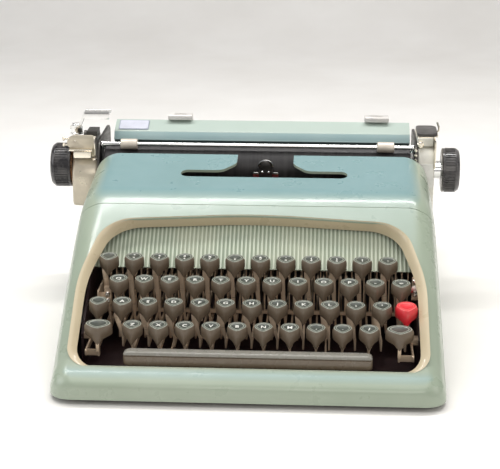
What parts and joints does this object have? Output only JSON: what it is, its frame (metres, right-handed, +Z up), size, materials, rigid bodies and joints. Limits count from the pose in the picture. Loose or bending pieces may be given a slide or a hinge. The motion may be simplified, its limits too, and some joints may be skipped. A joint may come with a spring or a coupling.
{
  "type": "typewriter",
  "caption": "Portable manual typewriter with a pressed steel casing, sprung key levers, a lifting ribbon cover and a sliding carriage with platen, bail and return lever.",
  "frame": {"origin": "under the middle of the whole machine, on the surface that its feet stand on", "axes": "+X to the typist's right along the carriage's travel, +Y back from the typist, +Z up"},
  "size_m": [0.342, 0.366, 0.1548],
  "materials": {
    "black_enamel": "semi-gloss",
    "casing_paint": "semi-gloss, pale green",
    "deck_paint": "semi-gloss, blue green",
    "table_paint": "semi-gloss, blue green",
    "nickel": "satin",
    "chrome": "polished",
    "rubber": "matt",
    "key_plastic": "gloss, dark green black",
    "red_plastic": "gloss, red",
    "bar_plastic": "gloss, olive brown",
    "ivory_plastic": "gloss, ivory"
  },
  "bodies": {
    "base": {"base_frame": "black_enamel", "body_casing": "casing_paint"},
    "ribbon_cover": {"ribbon_cover": "deck_paint"},
    "type_basket": {"type_basket": "nickel"},
    "carriage": {"carriage_frame": "nickel", "paper_table": "table_paint"},
    "platen": {"platen": "rubber"},
    "paper_bail": {"paper_bail": "chrome"},
    "return_lever": {"return_lever": "chrome"},
    "margin_stop_left": {"margin_stop_left": "ivory_plastic"},
    "margin_stop_right": {"margin_stop_right": "ivory_plastic"},
    "shift_keys": {"shift_keys": "key_plastic"},
    "space_bar": {"space_bar": "bar_plastic"},
    "backspace_key": {"backspace_key": "key_plastic"},
    "shift_lock_key": {"shift_lock_key": "key_plastic"},
    "tab_key": {"tab_key": "red_plastic"},
    "lower_row_key_01": {"lower_row_key_01": "key_plastic"},
    "lower_row_key_02": {"lower_row_key_02": "key_plastic"},
    "lower_row_key_03": {"lower_row_key_03": "key_plastic"},
    "lower_row_key_04": {"lower_row_key_04": "key_plastic"},
    "lower_row_key_05": {"lower_row_key_05": "key_plastic"},
    "lower_row_key_06": {"lower_row_key_06": "key_plastic"},
    "lower_row_key_07": {"lower_row_key_07": "key_plastic"},
    "lower_row_key_08": {"lower_row_key_08": "key_plastic"},
    "lower_row_key_09": {"lower_row_key_09": "key_plastic"},
    "lower_row_key_10": {"lower_row_key_10": "key_plastic"},
    "home_row_key_01": {"home_row_key_01": "key_plastic"},
    "home_row_key_02": {"home_row_key_02": "key_plastic"},
    "home_row_key_03": {"home_row_key_03": "key_plastic"},
    "home_row_key_04": {"home_row_key_04": "key_plastic"},
    "home_row_key_05": {"home_row_key_05": "key_plastic"},
    "home_row_key_06": {"home_row_key_06": "key_plastic"},
    "home_row_key_07": {"home_row_key_07": "key_plastic"},
    "home_row_key_08": {"home_row_key_08": "key_plastic"},
    "home_row_key_09": {"home_row_key_09": "key_plastic"},
    "home_row_key_10": {"home_row_key_10": "key_plastic"},
    "home_row_key_11": {"home_row_key_11": "key_plastic"},
    "upper_row_key_01": {"upper_row_key_01": "key_plastic"},
    "upper_row_key_02": {"upper_row_key_02": "key_plastic"},
    "upper_row_key_03": {"upper_row_key_03": "key_plastic"},
    "upper_row_key_04": {"upper_row_key_04": "key_plastic"},
    "upper_row_key_05": {"upper_row_key_05": "key_plastic"},
    "upper_row_key_06": {"upper_row_key_06": "key_plastic"},
    "upper_row_key_07": {"upper_row_key_07": "key_plastic"},
    "upper_row_key_08": {"upper_row_key_08": "key_plastic"},
    "upper_row_key_09": {"upper_row_key_09": "key_plastic"},
    "upper_row_key_10": {"upper_row_key_10": "key_plastic"},
    "upper_row_key_11": {"upper_row_key_11": "key_plastic"},
    "upper_row_key_12": {"upper_row_key_12": "key_plastic"},
    "number_row_key_01": {"number_row_key_01": "key_plastic"},
    "number_row_key_02": {"number_row_key_02": "key_plastic"},
    "number_row_key_03": {"number_row_key_03": "key_plastic"},
    "number_row_key_04": {"number_row_key_04": "key_plastic"},
    "number_row_key_05": {"number_row_key_05": "key_plastic"},
    "number_row_key_06": {"number_row_key_06": "key_plastic"},
    "number_row_key_07": {"number_row_key_07": "key_plastic"},
    "number_row_key_08": {"number_row_key_08": "key_plastic"},
    "number_row_key_09": {"number_row_key_09": "key_plastic"},
    "number_row_key_10": {"number_row_key_10": "key_plastic"},
    "number_row_key_11": {"number_row_key_11": "key_plastic"}
  },
  "joints": [
    {"name": "carriage_travel", "type": "slide", "parent": "base", "child": "carriage", "axis": [1, 0, 0], "range_m": [-0.109, 0.121]},
    {"name": "platen_turn", "type": "hinge", "parent": "carriage", "child": "platen", "pos_m": [0, 0.0585, 0.11], "axis": [1, 0, 0], "continuous": true},
    {"name": "return_lever_swing", "type": "hinge", "parent": "carriage", "child": "return_lever", "pos_m": [-0.1515, 0.067, 0.1383], "axis": [0, 0, -1], "range_deg": [0, 100]},
    {"name": "paper_bail_swing", "type": "hinge", "parent": "carriage", "child": "paper_bail", "pos_m": [0, 0.079, 0.1205], "axis": [-1, 0, 0], "range_deg": [0, 34]},
    {"name": "cover_hinge", "type": "hinge", "parent": "base", "child": "ribbon_cover", "pos_m": [0.0063, 0.0275, 0.11896], "axis": [-1, 0, 0], "range_deg": [0, 60]},
    {"name": "margin_left_slide", "type": "slide", "parent": "carriage", "child": "margin_stop_left", "axis": [1, 0, 0], "range_m": [-0.042, 0.06]},
    {"name": "margin_right_slide", "type": "slide", "parent": "carriage", "child": "margin_stop_right", "axis": [1, 0, 0], "range_m": [-0.06, 0.016]},
    {"name": "shift_rock", "type": "hinge", "parent": "base", "child": "shift_keys", "pos_m": [0.0063, 0.079, 0.0255], "axis": [1, 0, 0], "range_deg": [0, 3.2], "stiffness_Nm_per_rad": 1.6, "springref_deg": -20.05},
    {"name": "basket_shift", "type": "slide", "parent": "base", "child": "type_basket", "axis": [0, 0, -1], "range_m": [0, 0.0065], "stiffness_N_per_m": 600, "springref_m": -0.01},
    {"name": "space_bar_press", "type": "hinge", "parent": "base", "child": "space_bar", "pos_m": [0.0063, 0.079, 0.0255], "axis": [1, 0, 0], "range_deg": [0, 2], "stiffness_Nm_per_rad": 0.9, "springref_deg": -20.05},
    {"name": "backspace_press", "type": "hinge", "parent": "base", "child": "backspace_key", "pos_m": [0.0063, 0.079, 0.0255], "axis": [1, 0, 0], "range_deg": [0, 3.4], "stiffness_Nm_per_rad": 0.35, "springref_deg": -20.05},
    {"name": "shift_lock_press", "type": "hinge", "parent": "base", "child": "shift_lock_key", "pos_m": [0.0063, 0.079, 0.0255], "axis": [1, 0, 0], "range_deg": [0, 2.6], "stiffness_Nm_per_rad": 0.35, "springref_deg": -20.05},
    {"name": "tab_press", "type": "hinge", "parent": "base", "child": "tab_key", "pos_m": [0.0063, 0.079, 0.0255], "axis": [1, 0, 0], "range_deg": [0, 3.4], "stiffness_Nm_per_rad": 0.35, "springref_deg": -20.05},
    {"name": "type_key_lower_01", "type": "hinge", "parent": "base", "child": "lower_row_key_01", "pos_m": [0.0063, 0.079, 0.0255], "axis": [1, 0, 0], "range_deg": [0, 3.4], "stiffness_Nm_per_rad": 0.35, "springref_deg": -20.05},
    {"name": "type_key_lower_02", "type": "hinge", "parent": "base", "child": "lower_row_key_02", "pos_m": [0.0063, 0.079, 0.0255], "axis": [1, 0, 0], "range_deg": [0, 3.4], "stiffness_Nm_per_rad": 0.35, "springref_deg": -20.05},
    {"name": "type_key_lower_03", "type": "hinge", "parent": "base", "child": "lower_row_key_03", "pos_m": [0.0063, 0.079, 0.0255], "axis": [1, 0, 0], "range_deg": [0, 3.4], "stiffness_Nm_per_rad": 0.35, "springref_deg": -20.05},
    {"name": "type_key_lower_04", "type": "hinge", "parent": "base", "child": "lower_row_key_04", "pos_m": [0.0063, 0.079, 0.0255], "axis": [1, 0, 0], "range_deg": [0, 3.4], "stiffness_Nm_per_rad": 0.35, "springref_deg": -20.05},
    {"name": "type_key_lower_05", "type": "hinge", "parent": "base", "child": "lower_row_key_05", "pos_m": [0.0063, 0.079, 0.0255], "axis": [1, 0, 0], "range_deg": [0, 3.4], "stiffness_Nm_per_rad": 0.35, "springref_deg": -20.05},
    {"name": "type_key_lower_06", "type": "hinge", "parent": "base", "child": "lower_row_key_06", "pos_m": [0.0063, 0.079, 0.0255], "axis": [1, 0, 0], "range_deg": [0, 3.4], "stiffness_Nm_per_rad": 0.35, "springref_deg": -20.05},
    {"name": "type_key_lower_07", "type": "hinge", "parent": "base", "child": "lower_row_key_07", "pos_m": [0.0063, 0.079, 0.0255], "axis": [1, 0, 0], "range_deg": [0, 3.4], "stiffness_Nm_per_rad": 0.35, "springref_deg": -20.05},
    {"name": "type_key_lower_08", "type": "hinge", "parent": "base", "child": "lower_row_key_08", "pos_m": [0.0063, 0.079, 0.0255], "axis": [1, 0, 0], "range_deg": [0, 3.4], "stiffness_Nm_per_rad": 0.35, "springref_deg": -20.05},
    {"name": "type_key_lower_09", "type": "hinge", "parent": "base", "child": "lower_row_key_09", "pos_m": [0.0063, 0.079, 0.0255], "axis": [1, 0, 0], "range_deg": [0, 3.4], "stiffness_Nm_per_rad": 0.35, "springref_deg": -20.05},
    {"name": "type_key_lower_10", "type": "hinge", "parent": "base", "child": "lower_row_key_10", "pos_m": [0.0063, 0.079, 0.0255], "axis": [1, 0, 0], "range_deg": [0, 3.4], "stiffness_Nm_per_rad": 0.35, "springref_deg": -20.05},
    {"name": "type_key_home_01", "type": "hinge", "parent": "base", "child": "home_row_key_01", "pos_m": [0.0063, 0.079, 0.0255], "axis": [1, 0, 0], "range_deg": [0, 3.4], "stiffness_Nm_per_rad": 0.35, "springref_deg": -20.05},
    {"name": "type_key_home_02", "type": "hinge", "parent": "base", "child": "home_row_key_02", "pos_m": [0.0063, 0.079, 0.0255], "axis": [1, 0, 0], "range_deg": [0, 3.4], "stiffness_Nm_per_rad": 0.35, "springref_deg": -20.05},
    {"name": "type_key_home_03", "type": "hinge", "parent": "base", "child": "home_row_key_03", "pos_m": [0.0063, 0.079, 0.0255], "axis": [1, 0, 0], "range_deg": [0, 3.4], "stiffness_Nm_per_rad": 0.35, "springref_deg": -20.05},
    {"name": "type_key_home_04", "type": "hinge", "parent": "base", "child": "home_row_key_04", "pos_m": [0.0063, 0.079, 0.0255], "axis": [1, 0, 0], "range_deg": [0, 3.4], "stiffness_Nm_per_rad": 0.35, "springref_deg": -20.05},
    {"name": "type_key_home_05", "type": "hinge", "parent": "base", "child": "home_row_key_05", "pos_m": [0.0063, 0.079, 0.0255], "axis": [1, 0, 0], "range_deg": [0, 3.4], "stiffness_Nm_per_rad": 0.35, "springref_deg": -20.05},
    {"name": "type_key_home_06", "type": "hinge", "parent": "base", "child": "home_row_key_06", "pos_m": [0.0063, 0.079, 0.0255], "axis": [1, 0, 0], "range_deg": [0, 3.4], "stiffness_Nm_per_rad": 0.35, "springref_deg": -20.05},
    {"name": "type_key_home_07", "type": "hinge", "parent": "base", "child": "home_row_key_07", "pos_m": [0.0063, 0.079, 0.0255], "axis": [1, 0, 0], "range_deg": [0, 3.4], "stiffness_Nm_per_rad": 0.35, "springref_deg": -20.05},
    {"name": "type_key_home_08", "type": "hinge", "parent": "base", "child": "home_row_key_08", "pos_m": [0.0063, 0.079, 0.0255], "axis": [1, 0, 0], "range_deg": [0, 3.4], "stiffness_Nm_per_rad": 0.35, "springref_deg": -20.05},
    {"name": "type_key_home_09", "type": "hinge", "parent": "base", "child": "home_row_key_09", "pos_m": [0.0063, 0.079, 0.0255], "axis": [1, 0, 0], "range_deg": [0, 3.4], "stiffness_Nm_per_rad": 0.35, "springref_deg": -20.05},
    {"name": "type_key_home_10", "type": "hinge", "parent": "base", "child": "home_row_key_10", "pos_m": [0.0063, 0.079, 0.0255], "axis": [1, 0, 0], "range_deg": [0, 3.4], "stiffness_Nm_per_rad": 0.35, "springref_deg": -20.05},
    {"name": "type_key_home_11", "type": "hinge", "parent": "base", "child": "home_row_key_11", "pos_m": [0.0063, 0.079, 0.0255], "axis": [1, 0, 0], "range_deg": [0, 3.4], "stiffness_Nm_per_rad": 0.35, "springref_deg": -20.05},
    {"name": "type_key_upper_01", "type": "hinge", "parent": "base", "child": "upper_row_key_01", "pos_m": [0.0063, 0.079, 0.0255], "axis": [1, 0, 0], "range_deg": [0, 3.4], "stiffness_Nm_per_rad": 0.35, "springref_deg": -20.05},
    {"name": "type_key_upper_02", "type": "hinge", "parent": "base", "child": "upper_row_key_02", "pos_m": [0.0063, 0.079, 0.0255], "axis": [1, 0, 0], "range_deg": [0, 3.4], "stiffness_Nm_per_rad": 0.35, "springref_deg": -20.05},
    {"name": "type_key_upper_03", "type": "hinge", "parent": "base", "child": "upper_row_key_03", "pos_m": [0.0063, 0.079, 0.0255], "axis": [1, 0, 0], "range_deg": [0, 3.4], "stiffness_Nm_per_rad": 0.35, "springref_deg": -20.05},
    {"name": "type_key_upper_04", "type": "hinge", "parent": "base", "child": "upper_row_key_04", "pos_m": [0.0063, 0.079, 0.0255], "axis": [1, 0, 0], "range_deg": [0, 3.4], "stiffness_Nm_per_rad": 0.35, "springref_deg": -20.05},
    {"name": "type_key_upper_05", "type": "hinge", "parent": "base", "child": "upper_row_key_05", "pos_m": [0.0063, 0.079, 0.0255], "axis": [1, 0, 0], "range_deg": [0, 3.4], "stiffness_Nm_per_rad": 0.35, "springref_deg": -20.05},
    {"name": "type_key_upper_06", "type": "hinge", "parent": "base", "child": "upper_row_key_06", "pos_m": [0.0063, 0.079, 0.0255], "axis": [1, 0, 0], "range_deg": [0, 3.4], "stiffness_Nm_per_rad": 0.35, "springref_deg": -20.05},
    {"name": "type_key_upper_07", "type": "hinge", "parent": "base", "child": "upper_row_key_07", "pos_m": [0.0063, 0.079, 0.0255], "axis": [1, 0, 0], "range_deg": [0, 3.4], "stiffness_Nm_per_rad": 0.35, "springref_deg": -20.05},
    {"name": "type_key_upper_08", "type": "hinge", "parent": "base", "child": "upper_row_key_08", "pos_m": [0.0063, 0.079, 0.0255], "axis": [1, 0, 0], "range_deg": [0, 3.4], "stiffness_Nm_per_rad": 0.35, "springref_deg": -20.05},
    {"name": "type_key_upper_09", "type": "hinge", "parent": "base", "child": "upper_row_key_09", "pos_m": [0.0063, 0.079, 0.0255], "axis": [1, 0, 0], "range_deg": [0, 3.4], "stiffness_Nm_per_rad": 0.35, "springref_deg": -20.05},
    {"name": "type_key_upper_10", "type": "hinge", "parent": "base", "child": "upper_row_key_10", "pos_m": [0.0063, 0.079, 0.0255], "axis": [1, 0, 0], "range_deg": [0, 3.4], "stiffness_Nm_per_rad": 0.35, "springref_deg": -20.05},
    {"name": "type_key_upper_11", "type": "hinge", "parent": "base", "child": "upper_row_key_11", "pos_m": [0.0063, 0.079, 0.0255], "axis": [1, 0, 0], "range_deg": [0, 3.4], "stiffness_Nm_per_rad": 0.35, "springref_deg": -20.05},
    {"name": "type_key_upper_12", "type": "hinge", "parent": "base", "child": "upper_row_key_12", "pos_m": [0.0063, 0.079, 0.0255], "axis": [1, 0, 0], "range_deg": [0, 3.4], "stiffness_Nm_per_rad": 0.35, "springref_deg": -20.05},
    {"name": "type_key_number_01", "type": "hinge", "parent": "base", "child": "number_row_key_01", "pos_m": [0.0063, 0.079, 0.0255], "axis": [1, 0, 0], "range_deg": [0, 3.4], "stiffness_Nm_per_rad": 0.35, "springref_deg": -20.05},
    {"name": "type_key_number_02", "type": "hinge", "parent": "base", "child": "number_row_key_02", "pos_m": [0.0063, 0.079, 0.0255], "axis": [1, 0, 0], "range_deg": [0, 3.4], "stiffness_Nm_per_rad": 0.35, "springref_deg": -20.05},
    {"name": "type_key_number_03", "type": "hinge", "parent": "base", "child": "number_row_key_03", "pos_m": [0.0063, 0.079, 0.0255], "axis": [1, 0, 0], "range_deg": [0, 3.4], "stiffness_Nm_per_rad": 0.35, "springref_deg": -20.05},
    {"name": "type_key_number_04", "type": "hinge", "parent": "base", "child": "number_row_key_04", "pos_m": [0.0063, 0.079, 0.0255], "axis": [1, 0, 0], "range_deg": [0, 3.4], "stiffness_Nm_per_rad": 0.35, "springref_deg": -20.05},
    {"name": "type_key_number_05", "type": "hinge", "parent": "base", "child": "number_row_key_05", "pos_m": [0.0063, 0.079, 0.0255], "axis": [1, 0, 0], "range_deg": [0, 3.4], "stiffness_Nm_per_rad": 0.35, "springref_deg": -20.05},
    {"name": "type_key_number_06", "type": "hinge", "parent": "base", "child": "number_row_key_06", "pos_m": [0.0063, 0.079, 0.0255], "axis": [1, 0, 0], "range_deg": [0, 3.4], "stiffness_Nm_per_rad": 0.35, "springref_deg": -20.05},
    {"name": "type_key_number_07", "type": "hinge", "parent": "base", "child": "number_row_key_07", "pos_m": [0.0063, 0.079, 0.0255], "axis": [1, 0, 0], "range_deg": [0, 3.4], "stiffness_Nm_per_rad": 0.35, "springref_deg": -20.05},
    {"name": "type_key_number_08", "type": "hinge", "parent": "base", "child": "number_row_key_08", "pos_m": [0.0063, 0.079, 0.0255], "axis": [1, 0, 0], "range_deg": [0, 3.4], "stiffness_Nm_per_rad": 0.35, "springref_deg": -20.05},
    {"name": "type_key_number_09", "type": "hinge", "parent": "base", "child": "number_row_key_09", "pos_m": [0.0063, 0.079, 0.0255], "axis": [1, 0, 0], "range_deg": [0, 3.4], "stiffness_Nm_per_rad": 0.35, "springref_deg": -20.05},
    {"name": "type_key_number_10", "type": "hinge", "parent": "base", "child": "number_row_key_10", "pos_m": [0.0063, 0.079, 0.0255], "axis": [1, 0, 0], "range_deg": [0, 3.4], "stiffness_Nm_per_rad": 0.35, "springref_deg": -20.05},
    {"name": "type_key_number_11", "type": "hinge", "parent": "base", "child": "number_row_key_11", "pos_m": [0.0063, 0.079, 0.0255], "axis": [1, 0, 0], "range_deg": [0, 3.4], "stiffness_Nm_per_rad": 0.35, "springref_deg": -20.05}
  ],
  "couplings": [
    {"joint": "basket_shift", "follows": "shift_rock", "m_per_rad": 0.11638}
  ]
}
